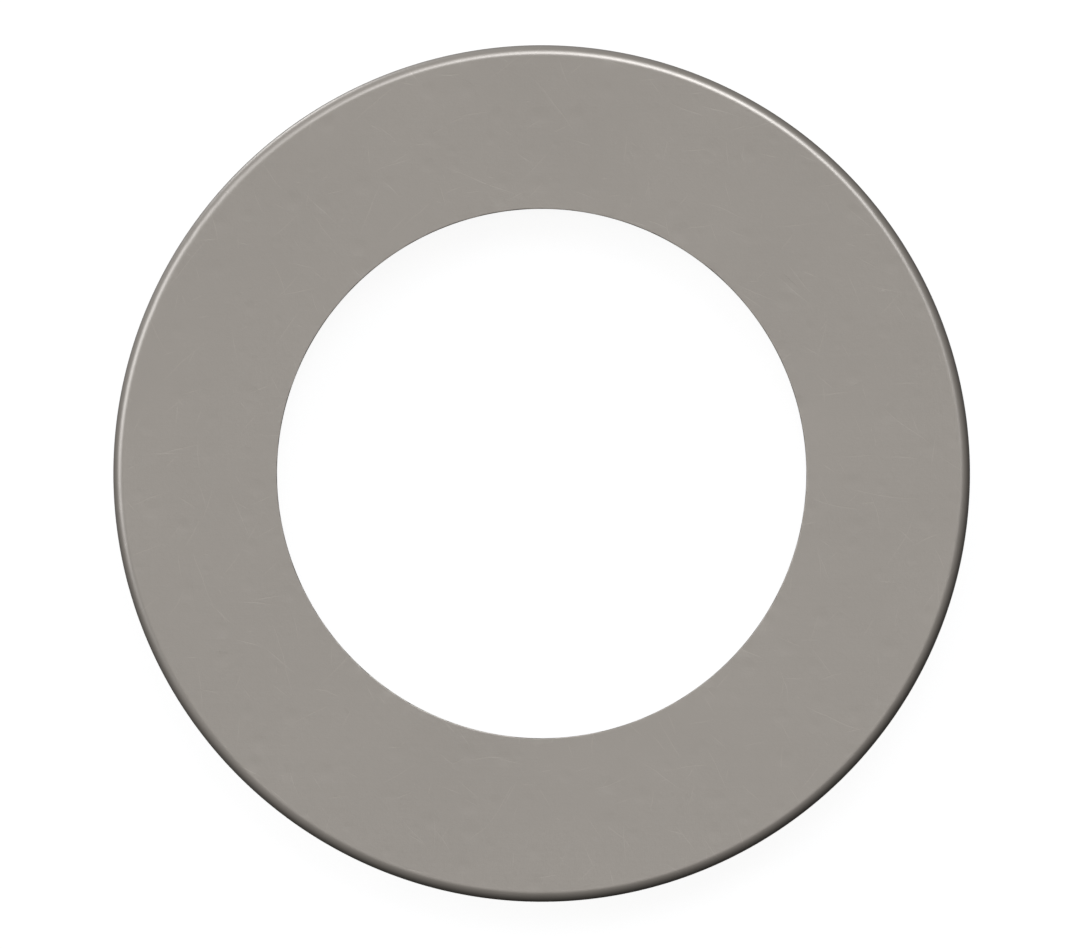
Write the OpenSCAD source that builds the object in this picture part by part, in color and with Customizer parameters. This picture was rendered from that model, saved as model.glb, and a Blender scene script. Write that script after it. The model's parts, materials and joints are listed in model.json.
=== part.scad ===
// Flat washer, small series for an M20 screw: one ring, stamped from strip.
// The outer edge is rounded by the die on the upper face, and the bore edge on the lower face.
// +Z is the bore axis. The origin is the centre of the lower bearing face.

/* [Ring] */
// Bore diameter, which clears the screw's shank
bore_d = 21; // [10:0.5:26]
// Outside diameter
outer_d = 34; // [32:0.5:50]
// Thickness between the two bearing faces
thickness = 3; // [2:0.1:5]

/* [Edges] */
// Radius that the die rolls on the outer edge of the upper face and the bore edge of the lower face
roll_r = 0.4; // [0.1:0.05:0.9]
// Radius that tumbling leaves on the outer edge of the lower face
tumbled_r = 0.1; // [0.05:0.05:0.3]

/* [Hidden] */
$fn = 180;
bore_r = bore_d / 2;
outer_r = outer_d / 2;
// How far an edge cutter reaches past the faces that it cuts
overshoot = 1;

// What a round of radius r takes off a square corner.
// The corner is the origin, and the material lies towards -X and -Y.
module corner_cut(r) {
    difference() {
        translate([-r, -r]) square(r + overshoot);
        translate([-r, -r]) circle(r);
    }
}

// The ring's section, to the right of the bore axis
module section() {
    difference() {
        translate([bore_r, 0]) square([outer_r - bore_r, thickness]);
        translate([outer_r, thickness]) corner_cut(roll_r);
        translate([bore_r, 0]) rotate(180) corner_cut(roll_r);
        translate([outer_r, 0]) mirror([0, 1]) corner_cut(tumbled_r);
    }
}

module washer() {
    color([0.6, 0.58, 0.56]) rotate_extrude() section();
}

washer();
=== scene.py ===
"""One flat washer, stamped from steel sheet, on a white table under soft lamps.

The ring is turned from its section, with the bands that a press leaves on its two walls: beside each
rolled edge a smooth burnished band, and beyond that a torn one.
"""

import json
import math
import random

import bpy
import mathutils
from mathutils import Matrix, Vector, noise


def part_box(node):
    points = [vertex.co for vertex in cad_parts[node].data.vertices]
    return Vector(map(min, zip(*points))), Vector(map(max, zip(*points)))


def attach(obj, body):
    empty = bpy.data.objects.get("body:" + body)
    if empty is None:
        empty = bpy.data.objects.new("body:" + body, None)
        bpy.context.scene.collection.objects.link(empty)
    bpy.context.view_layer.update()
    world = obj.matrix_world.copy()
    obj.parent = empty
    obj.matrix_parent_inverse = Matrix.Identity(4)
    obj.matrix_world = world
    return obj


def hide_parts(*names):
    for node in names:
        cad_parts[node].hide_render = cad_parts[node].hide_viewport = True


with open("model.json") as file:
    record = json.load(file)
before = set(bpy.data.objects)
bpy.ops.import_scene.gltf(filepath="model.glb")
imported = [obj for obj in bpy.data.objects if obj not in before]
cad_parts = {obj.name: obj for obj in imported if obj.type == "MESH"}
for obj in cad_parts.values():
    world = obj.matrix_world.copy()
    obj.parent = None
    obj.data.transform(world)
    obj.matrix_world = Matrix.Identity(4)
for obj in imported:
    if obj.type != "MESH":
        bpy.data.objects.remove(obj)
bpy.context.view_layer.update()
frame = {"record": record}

MM = 0.001

# ---- Dimensions, in metres ----
low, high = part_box("washer")
bore = next(m for m in frame["record"]["mounts"] if m["name"] == "bore")
OUTER_R = (high.x - low.x) / 2
THICKNESS = high.z - low.z
BORE_R = bore["dims"]["r_mm"] * MM
# The bore's straight wall begins where the round of its lower edge ends. Both rolled edges have that radius
ROLL_R = bore["pos_m"][2] - bore["dims"]["length_mm"] * MM / 2
# Radius that tumbling leaves on the outer edge of the lower face
TUMBLED_R = 0.1 * MM
# Radius left on the upper edge of the bore, which is sharp to the eye
SHARP_R = 0.015 * MM

# ---- The walls' bands ----
# Height of the burnished band, from the rolled edge to where the metal tore
BURNISHED = 1.15 * MM
# How far that border wanders up and down, and over what length, in waves and in finer teeth
WAVE_HEIGHT, WAVE_LENGTH = 0.22 * MM, 3.4 * MM
TOOTH_HEIGHT, TOOTH_LENGTH = 0.12 * MM, 0.5 * MM
# How far the torn band lies behind the burnished one, and how deep and how long its grain is
TORN_RECESS = 0.018 * MM
TORN_GRAIN = 0.014 * MM
TORN_GRAIN_LENGTH = 0.45 * MM
# Height over which one band turns into the other
BORDER_BLEND = 0.12 * MM
# Where in the noise the walls' two borders and the two sizes of torn grain are taken from
BORE_SEED, OUTER_SEED = 47, 11
COARSE_SEED, FINE_SEED = 5, 9

# ---- Knocks that tumbling leaves on the edges ----
KNOCKS = 70
KNOCK_SEED = 20
KNOCK_WIDTHS = (0.25 * MM, 0.6 * MM)
KNOCK_DEPTHS = (0.004 * MM, 0.012 * MM)

# ---- Mesh density ----
TURNS = 864
ROUND_STEPS = 18
FINE_ROUND_STEPS = 5
WALL_STEPS = 22
# Distances from an edge's round to the rings on the face beside it
FACE_RINGS = (0.03 * MM, 0.15 * MM, 0.35 * MM, 0.7 * MM, 1.1 * MM)

# ---- Camera ----
VIEW_WIDTH = 42.74 * MM
CAMERA_HEIGHT = 300 * MM
# The washer lies a touch right of the middle of the picture, and above it
CAMERA_X = -0.125 * MM
CAMERA_Y = -0.039 * MM

# ---- Light ----
WHITE = (1, 1, 1, 1)
# Soft lamps around the washer: tilt from straight up, compass angle from +X towards +Y,
# half-angle of the soft disc, and strength at its middle
LAMPS = {
    "key": (29, 68, 18, 2.17),
    "key halo": (32, 78, 31, 0.66),
    "fill": (46, 162, 25, 1.34),
    "rim": (115, 125.5, 15, 1.75),
    "rim halo": (111, 123, 62, 0.19),
}
LAMP_COLOUR = (0.98, 1.038, 1.125, 1)
# The room is brighter above than below, and brighter on one side, which is given as a lamp is
ROOM_BELOW = 0.01
ROOM_ABOVE = 0.138
ROOM_SIDE = (71, 112, 180, 0.29)

# ---- Table ----
TABLE_SIZE = 6.0
# The table lies this far below the washer, so that their faces aren't one plane
TABLE_GAP = 0.02 * MM
TABLE_WHITE = (0.25, 0.25, 0.25, 1)
# The table's own light, as the camera sees it, and as it falls on the washer's walls, which scatter it
TABLE_GLOW = 0.9
TABLE_LIGHT = 1.4

# ---- Steel: colours, and how much of it mirrors rather than scatters ----
STEEL = (0.5895, 0.5406, 0.485)
STEEL_ROUGH = 0.36
# The flat faces are a little duller than the rolled edges. Their colour is darker too: painted shade that
# takes back the light their duller finish scatters, while the rolled edges keep the lighter colour, which
# brightens the highlights on them
FLAT_STEEL_PAINTED_SHADE = (0.5713, 0.518, 0.457)
FLAT_METAL = 0.64
# How far a point may lie from the plane of its face and still count as flat
FLAT_DROP = 0.004 * MM
# The walls are scored, and scatter some of the light that they would otherwise mirror
BURNISHED_ROUGH = 0.34
BURNISHED_METAL = 0.7
# Torn metal is dull
TORN_DARK = (0.22, 0.203, 0.183, 1)
TORN_LIGHT = (0.48, 0.447, 0.405, 1)
TORN_ROUGH = 0.52
TORN_METAL = 0.45

# ---- The surface's marks: lengths and heights in millimetres ----
CLOUD_LENGTH = 6.2
GRAIN_LENGTH, GRAIN_HEIGHT = 0.11, 0.0022
# The sheet was rolled along X
ROLLING_LENGTHS, ROLLING_HEIGHT = (14.0, 0.11, 0.11), 0.0009
DENT_SPACING, DENT_RADIUS, DENT_DEPTH = 1.4, 0.5, 0.0038
# Three sets of hairlines, as (spacing, greatest half-length), which a wide noise bends a little
HAIRLINES = ((2.2, 1.6), (3.1, 2.6), (1.5, 0.9))
HAIRLINE_WIDTH, HAIRLINE_DEPTH = 0.028, 0.0012
BEND_LENGTH = 4.0
# Score lines run along the press's stroke, and the torn band's crystals are drawn out along it too
SCORE_LENGTHS, SCORE_HEIGHT = (0.09, 0.09, 4.0), 0.005
CRYSTAL_LENGTHS, CRYSTAL_HEIGHT = (0.13, 0.13, 0.26), 0.03
# The torn band's border is more ragged than the mesh can draw it
RAGGED_LENGTH, RAGGEDNESS, RAGGED_BLEND = 0.29, 0.9, 0.1
# How far the marks change the colour, as shares of it, and how far they change the roughness
CLOUD_SHADE, SCORE_SHADE, HAIRLINE_SHADE = 0.05, 0.1, 0.08
GRAIN_ROUGH, ROLLING_ROUGH, SCORE_ROUGH = 0.03, 0.02, 0.05


def arc(centre_r, centre_z, radius, start, steps):
    """A quarter round as points (distance from the axis, height), clockwise from an angle in degrees."""
    points = []
    for k in range(steps + 1):
        a = math.radians(start - 90 * k / steps)
        points.append((centre_r + radius * math.cos(a), centre_z + radius * math.sin(a)))
    return points


def between(start, end, steps):
    """Points between two others, both left out."""
    (r0, z0), (r1, z1) = start, end
    shares = [k / steps for k in range(1, steps)]
    return [(r0 + (r1 - r0) * t, z0 + (z1 - z0) * t) for t in shares]


def face(start, end):
    """Points across a flat face, closer together towards its two edges."""
    way = 1 if end[0] > start[0] else -1
    near = [(start[0] + way * gap, start[1]) for gap in FACE_RINGS]
    far = [(end[0] - way * gap, end[1]) for gap in reversed(FACE_RINGS)]
    return near + far


def section():
    """The ring's section as a closed outline, clockwise from the upper end of the bore."""
    top_inner = arc(BORE_R + SHARP_R, THICKNESS - SHARP_R, SHARP_R, 180, FINE_ROUND_STEPS)
    top_outer = arc(OUTER_R - ROLL_R, THICKNESS - ROLL_R, ROLL_R, 90, ROUND_STEPS)
    low_outer = arc(OUTER_R - TUMBLED_R, TUMBLED_R, TUMBLED_R, 0, FINE_ROUND_STEPS)
    low_inner = arc(BORE_R + ROLL_R, ROLL_R, ROLL_R, 270, ROUND_STEPS)
    points = top_inner + face(top_inner[-1], top_outer[0])
    points += top_outer + between(top_outer[-1], low_outer[0], WALL_STEPS)
    points += low_outer + face(low_outer[-1], low_inner[0])
    points += low_inner + between(low_inner[-1], top_inner[0], WALL_STEPS)
    return points


def smooth(t):
    """0 below 0, 1 above 1, and an even curve between."""
    t = min(max(t, 0), 1)
    return t * t * (3 - 2 * t)


def wander(angle, radius, height, length, seed):
    """Noise from -1 to 1 on a wall, which meets itself after a full turn."""
    x, y = radius * math.cos(angle), radius * math.sin(angle)
    return noise.noise(Vector((x / length, y / length, height / length + seed)))


def off_wall(r):
    """Distance of a point of the section from the nearer wall, and whether that is the outer one."""
    outer = r > (BORE_R + OUTER_R) / 2
    return (OUTER_R - r if outer else r - BORE_R), outer


def torn_share(angle, r, z):
    """How far the metal is torn at a point of the ring: 0 where it is burnished, 1 in the torn band."""
    gap, outer = off_wall(r)
    depth = THICKNESS - ROLL_R - z if outer else z - ROLL_R
    far_edge = TUMBLED_R if outer else SHARP_R
    seed = OUTER_SEED if outer else BORE_SEED
    border = BURNISHED + WAVE_HEIGHT * wander(angle, r, 0, WAVE_LENGTH, seed)
    border += TOOTH_HEIGHT * wander(angle, r, 0, TOOTH_LENGTH, seed)
    return (1 - smooth(gap / far_edge)) * smooth((depth - border) / BORDER_BLEND)


def torn_depth(angle, r, z, torn):
    """How far the torn metal lies behind the drawn wall."""
    grain = wander(angle, r, z, TORN_GRAIN_LENGTH, COARSE_SEED)
    grain += wander(angle, r, z, TORN_GRAIN_LENGTH / 2, FINE_SEED) / 2
    return torn * (TORN_RECESS + TORN_GRAIN * grain)


def edge_knocks():
    """Shallow dents on the ring's edges as (place, push, width), spread by chance but always the same.

    The push goes from the edge into the metal, halfway between the wall and the face.
    """
    chance = random.Random(KNOCK_SEED)
    edges = [(OUTER_R, THICKNESS), (OUTER_R, 0), (BORE_R, THICKNESS), (BORE_R, 0)]
    knocks = []
    for k in range(KNOCKS):
        r, z = edges[k % len(edges)]
        angle = chance.uniform(0, 2 * math.pi)
        outwards = Vector((math.cos(angle), math.sin(angle), 0))
        upwards = Vector((0, 0, 1))
        width, depth = chance.uniform(*KNOCK_WIDTHS), chance.uniform(*KNOCK_DEPTHS)
        inwards = outwards * (1 if r == BORE_R else -1) + upwards * (1 if z == 0 else -1)
        knocks.append((r * outwards + z * upwards, inwards.normalized() * depth, width))
    return knocks


def knock_in(mesh):
    """Presses the knocks into a mesh, each deepest at its own place."""
    places = mathutils.kdtree.KDTree(len(mesh.vertices))
    for v in mesh.vertices:
        places.insert(v.co, v.index)
    places.balance()
    for place, push, width in edge_knocks():
        for _, index, distance in places.find_range(place, width):
            mesh.vertices[index].co += push * (1 - smooth(distance / width))


def washer_mesh():
    """The ring, with marks on its points: how far they are on a flat face, on a wall and in a torn band."""
    outline = section()
    count = len(outline)
    points = []
    marks = {"flat": [], "wall": [], "torn": []}
    for turn in range(TURNS):
        angle = 2 * math.pi * turn / TURNS
        for r, z in outline:
            gap, outer = off_wall(r)
            torn = torn_share(angle, r, z)
            into = torn_depth(angle, r, z, torn) * (-1 if outer else 1)
            points.append(((r + into) * math.cos(angle), (r + into) * math.sin(angle), z))
            marks["flat"].append(1 - smooth(min(z, THICKNESS - z) / FLAT_DROP))
            marks["wall"].append(1 - smooth(gap / SHARP_R))
            marks["torn"].append(torn)
    faces = []
    for turn in range(TURNS):
        here, there = turn * count, (turn + 1) % TURNS * count
        for k in range(count):
            after = (k + 1) % count
            faces.append((here + k, here + after, there + after, there + k))
    mesh = bpy.data.meshes.new("steel_ring")
    mesh.from_pydata(points, [], faces)
    knock_in(mesh)
    mesh.shade_smooth()
    for name, shares in marks.items():
        mesh.attributes.new(name, "FLOAT", "POINT").data.foreach_set("value", shares)
    return mesh


class Nodes:
    """Adds nodes to a node tree and joins them up."""

    def __init__(self, tree):
        self.tree = tree
        tree.nodes.clear()

    def add(self, kind, inputs=None, **settings):
        """A node, with its settings and its inputs: a number, a colour or another node's socket."""
        node = self.tree.nodes.new(kind)
        for name, value in settings.items():
            setattr(node, name, value)
        for name, value in (inputs or {}).items():
            if isinstance(value, bpy.types.NodeSocket):
                self.tree.links.new(value, node.inputs[name])
            else:
                node.inputs[name].default_value = value
        return node

    def math(self, operation, a, b=0.0, c=0.0):
        """A sum on up to three numbers."""
        return self.add("ShaderNodeMath", {0: a, 1: b, 2: c}, operation=operation).outputs[0]

    def vector(self, operation, a, b):
        """A sum on two vectors or colours."""
        return self.add("ShaderNodeVectorMath", {0: a, 1: b}, operation=operation).outputs[0]

    def scaled(self, a, factor):
        """A vector or a colour, with all its channels times a factor."""
        return self.add("ShaderNodeVectorMath", {0: a, "Scale": factor}, operation="SCALE").outputs[0]

    def mix(self, share, a, b):
        """A number that goes from a to b as share goes from 0 to 1."""
        return self.add("ShaderNodeMapRange", {"Value": share, "To Min": a, "To Max": b}).outputs[0]

    def around(self, share, middle, spread):
        """A number that goes from below a middle to above it as share goes from 0 to 1."""
        return self.mix(share, middle - spread, middle + spread)

    def ramp(self, value, none, full):
        """0 where a value is at none, 1 where it is at full, and an even curve between."""
        sockets = {"Value": value, "From Min": none, "From Max": full}
        return self.add("ShaderNodeMapRange", sockets, interpolation_type="SMOOTHSTEP").outputs[0]

    def colour(self, share, a, b):
        """A colour that goes from a to b as share goes from 0 to 1."""
        # the mix node's colours are its inputs 6 and 7
        sockets = {"Factor": share, 6: a, 7: b}
        return self.add("ShaderNodeMix", sockets, data_type="RGBA").outputs[2]

    def noise(self, place, length, detail=3.0, roughness=0.5):
        """Noise from 0 to 1, whose largest waves are about this long."""
        sockets = {"Vector": place, "Scale": 1 / length, "Detail": detail, "Roughness": roughness}
        return self.add("ShaderNodeTexNoise", sockets).outputs["Fac"]

    def streaks(self, place, lengths, detail=3.0, roughness=0.5):
        """Noise drawn out along the axes to lengths of its own."""
        sockets = {"Vector": place, "Scale": lengths}
        drawn = self.add("ShaderNodeMapping", sockets, vector_type="TEXTURE").outputs[0]
        return self.noise(drawn, 1.0, detail, roughness)

    def scattered(self, place, spacing):
        """Chance points on XY, about a spacing apart: the way from the nearest, and its chance numbers."""
        sockets = {"Vector": place, "Scale": 1 / spacing}
        cells = self.add("ShaderNodeTexVoronoi", sockets, voronoi_dimensions="2D")
        way = self.vector("SUBTRACT", place, cells.outputs["Position"])
        way = self.add("ShaderNodeSeparateXYZ", {0: way})
        picks = self.add("ShaderNodeSeparateColor", {0: cells.outputs["Color"]})
        return (way.outputs[0], way.outputs[1]), picks.outputs

    def dents(self, place, spacing, widest):
        """Round dents of chance sizes: 1 in the middle of the widest, less in smaller ones, 0 outside."""
        (x, y), picks = self.scattered(place, spacing)
        distance = self.math("SQRT", self.math("MULTIPLY_ADD", x, x, self.math("MULTIPLY", y, y)))
        dent = self.ramp(distance, self.math("MULTIPLY", picks[0], widest), 0.0)
        return self.math("MULTIPLY", dent, picks[0])

    def hairlines(self, place, spacing, longest, width):
        """Fine straight scratches, each in a chance direction: 1 on them, 0 off them."""
        (x, y), picks = self.scattered(place, spacing)
        turn = self.math("MULTIPLY", picks[0], 2 * math.pi)
        cos, sin = self.math("COSINE", turn), self.math("SINE", turn)
        along = self.math("MULTIPLY_ADD", x, cos, self.math("MULTIPLY", y, sin))
        across = self.math("SUBTRACT", self.math("MULTIPLY", y, cos), self.math("MULTIPLY", x, sin))
        line = self.ramp(self.math("ABSOLUTE", across), width, 0.0)
        ends = self.ramp(self.math("ABSOLUTE", along), self.math("MULTIPLY", picks[1], longest), 0.0)
        return self.math("MULTIPLY", line, ends)


def steel():
    """Tumbled sheet steel: a satin grain over faint rolling lines, with shallow dents and hairlines.

    The mesh's own marks say where it is flat, where the walls are and where they tore.
    """
    material = bpy.data.materials.new("tumbled_steel")
    material.use_nodes = True
    n = Nodes(material.node_tree)
    place = n.add("ShaderNodeTexCoord").outputs["Object"]
    mm = n.vector("DIVIDE", place, (MM, MM, MM))
    marks = ("flat", "wall", "torn")
    flat, wall, torn = [n.add("ShaderNodeAttribute", attribute_name=mark).outputs["Fac"] for mark in marks]
    ragged = n.math("SUBTRACT", n.noise(mm, RAGGED_LENGTH, detail=4), 0.5)
    ragged = n.math("MULTIPLY_ADD", ragged, RAGGEDNESS, torn)
    torn = n.ramp(ragged, 0.5 - RAGGED_BLEND, 0.5 + RAGGED_BLEND)

    # what rolling and tumbling leave all over
    cloud = n.noise(mm, CLOUD_LENGTH, detail=4)
    grain = n.noise(mm, GRAIN_LENGTH, roughness=0.6)
    rolling = n.streaks(mm, ROLLING_LENGTHS, detail=4, roughness=0.6)
    dents = n.dents(mm, DENT_SPACING, DENT_RADIUS)
    bend = n.add("ShaderNodeTexNoise", {"Vector": mm, "Scale": 1 / BEND_LENGTH}).outputs["Color"]
    bent = n.vector("ADD", mm, bend)
    hairlines = 0.0
    for spacing, longest in HAIRLINES:
        lines = n.hairlines(n.vector("ADD", bent, (spacing, 0, 0)), spacing, longest, HAIRLINE_WIDTH)
        hairlines = n.math("MAXIMUM", lines, hairlines)

    # what the press leaves on the walls
    score = n.streaks(mm, SCORE_LENGTHS, detail=2)
    crystals = n.streaks(mm, CRYSTAL_LENGTHS, detail=4, roughness=0.65)

    # painted shade: the flat faces take the darker steel, and the rolled edges keep the lighter one, which
    # brightens their highlights
    colour = n.colour(flat, (*STEEL, 1), (*FLAT_STEEL_PAINTED_SHADE, 1))
    colour = n.scaled(colour, n.around(cloud, 1.0, CLOUD_SHADE))
    colour = n.scaled(colour, n.mix(hairlines, 1.0, 1 + HAIRLINE_SHADE))
    scored = n.scaled(STEEL, n.around(score, 1.0, SCORE_SHADE))
    colour = n.colour(wall, colour, scored)
    colour = n.colour(torn, colour, n.colour(crystals, TORN_DARK, TORN_LIGHT))

    roughness = n.around(grain, STEEL_ROUGH, GRAIN_ROUGH)
    roughness = n.math("ADD", roughness, n.around(rolling, 0.0, ROLLING_ROUGH))
    roughness = n.mix(wall, roughness, n.around(score, BURNISHED_ROUGH, SCORE_ROUGH))
    roughness = n.mix(torn, roughness, TORN_ROUGH)
    metal = n.mix(wall, n.mix(flat, 1.0, FLAT_METAL), BURNISHED_METAL)
    metal = n.mix(torn, metal, TORN_METAL)

    height = n.math("MULTIPLY", grain, GRAIN_HEIGHT)
    height = n.math("MULTIPLY_ADD", rolling, ROLLING_HEIGHT, height)
    height = n.math("MULTIPLY_ADD", dents, -DENT_DEPTH, height)
    height = n.math("MULTIPLY_ADD", hairlines, -HAIRLINE_DEPTH, height)
    height = n.mix(wall, height, n.math("MULTIPLY", score, SCORE_HEIGHT))
    height = n.mix(torn, height, n.math("MULTIPLY", crystals, CRYSTAL_HEIGHT))
    bump = n.add("ShaderNodeBump", {"Height": height, "Distance": MM}).outputs[0]

    sockets = {"Base Color": colour, "Metallic": metal, "Roughness": roughness, "Normal": bump}
    shader = n.add("ShaderNodeBsdfPrincipled", sockets)
    n.add("ShaderNodeOutputMaterial", {"Surface": shader.outputs[0]})
    return material


def make_washer():
    """The steel ring, in place of the CAD model's."""
    mesh = washer_mesh()
    mesh.materials.append(steel())
    washer = bpy.data.objects.new("washer_steel", mesh)
    bpy.context.scene.collection.objects.link(washer)
    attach(washer, "root")
    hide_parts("washer")


def make_table():
    """A wide white table, which the steel doesn't mirror. From below it is clear, to show the underside."""
    half = TABLE_SIZE / 2
    mesh = bpy.data.meshes.new("table")
    corners = [(x * half, y * half, -TABLE_GAP) for x, y in ((-1, -1), (1, -1), (1, 1), (-1, 1))]
    mesh.from_pydata(corners, [], [(0, 1, 2, 3)])
    material = bpy.data.materials.new("white_table")
    material.use_nodes = True
    n = Nodes(material.node_tree)
    white = n.add("ShaderNodeBsdfDiffuse", {"Color": TABLE_WHITE})
    seen = n.add("ShaderNodeLightPath").outputs["Is Camera Ray"]
    strength = n.mix(seen, TABLE_LIGHT, TABLE_GLOW)
    glow = n.add("ShaderNodeEmission", {"Color": WHITE, "Strength": strength})
    lit = n.add("ShaderNodeAddShader", {0: white.outputs[0], 1: glow.outputs[0]})
    clear = n.add("ShaderNodeBsdfTransparent")
    below = n.add("ShaderNodeNewGeometry").outputs["Backfacing"]
    both = n.add("ShaderNodeMixShader", {0: below, 1: lit.outputs[0], 2: clear.outputs[0]})
    n.add("ShaderNodeOutputMaterial", {"Surface": both.outputs[0]})
    # the table is too close under the washer for its light to be sampled as a lamp's
    material.cycles.emission_sampling = "NONE"
    mesh.materials.append(material)
    table = bpy.data.objects.new("table", mesh)
    bpy.context.scene.collection.objects.link(table)
    table.visible_glossy = False
    table.visible_shadow = False


def direction(tilt, compass):
    """The way to a place in the sky, from its tilt from straight up and its compass angle."""
    t, c = math.radians(tilt), math.radians(compass)
    return math.sin(t) * math.cos(c), math.sin(t) * math.sin(c), math.cos(t)


def soft_disc(n, way, tilt, compass, half_angle, strength):
    """Brightness of a round lamp as seen along a way: its strength at the middle, and 0 at its edge."""
    towards = {0: way, 1: direction(tilt, compass)}
    near = n.add("ShaderNodeVectorMath", towards, operation="DOT_PRODUCT").outputs["Value"]
    share = n.ramp(near, math.cos(math.radians(half_angle)), 1.0)
    return n.math("MULTIPLY", share, strength)


def make_light():
    """A white room to the camera, and soft lamps in a dim room to the steel."""
    world = bpy.data.worlds.new("studio")
    bpy.context.scene.world = world
    world.use_nodes = True
    n = Nodes(world.node_tree)
    way = n.add("ShaderNodeTexCoord").outputs["Generated"]
    height = n.add("ShaderNodeSeparateXYZ", {0: way}).outputs["Z"]
    dim = n.mix(n.ramp(height, -1.0, 1.0), ROOM_BELOW, ROOM_ABOVE)
    dim = n.math("ADD", dim, soft_disc(n, way, *ROOM_SIDE))
    bright = 0.0
    for lamp in LAMPS.values():
        bright = n.math("ADD", soft_disc(n, way, *lamp), bright)
    room = n.add("ShaderNodeBackground", {"Color": WHITE, "Strength": dim})
    lamps = n.add("ShaderNodeBackground", {"Color": LAMP_COLOUR, "Strength": bright})
    light = n.add("ShaderNodeAddShader", {0: room.outputs[0], 1: lamps.outputs[0]})
    backdrop = n.add("ShaderNodeBackground", {"Color": WHITE, "Strength": 1.0})
    seen = n.add("ShaderNodeLightPath").outputs["Is Camera Ray"]
    both = n.add("ShaderNodeMixShader", {0: seen, 1: light.outputs[0], 2: backdrop.outputs[0]})
    n.add("ShaderNodeOutputWorld", {"Surface": both.outputs[0]})


def make_camera():
    """Straight above the washer, with no perspective, so that the bore's wall stays out of sight."""
    data = bpy.data.cameras.new("camera")
    data.type = "ORTHO"
    data.ortho_scale = VIEW_WIDTH
    data.clip_end = 2 * CAMERA_HEIGHT
    camera = bpy.data.objects.new("camera", data)
    camera.location = (CAMERA_X, CAMERA_Y, CAMERA_HEIGHT)
    bpy.context.scene.collection.objects.link(camera)
    bpy.context.scene.camera = camera
    bpy.context.scene.view_settings.view_transform = "Standard"


make_camera()
make_light()
make_table()
make_washer()
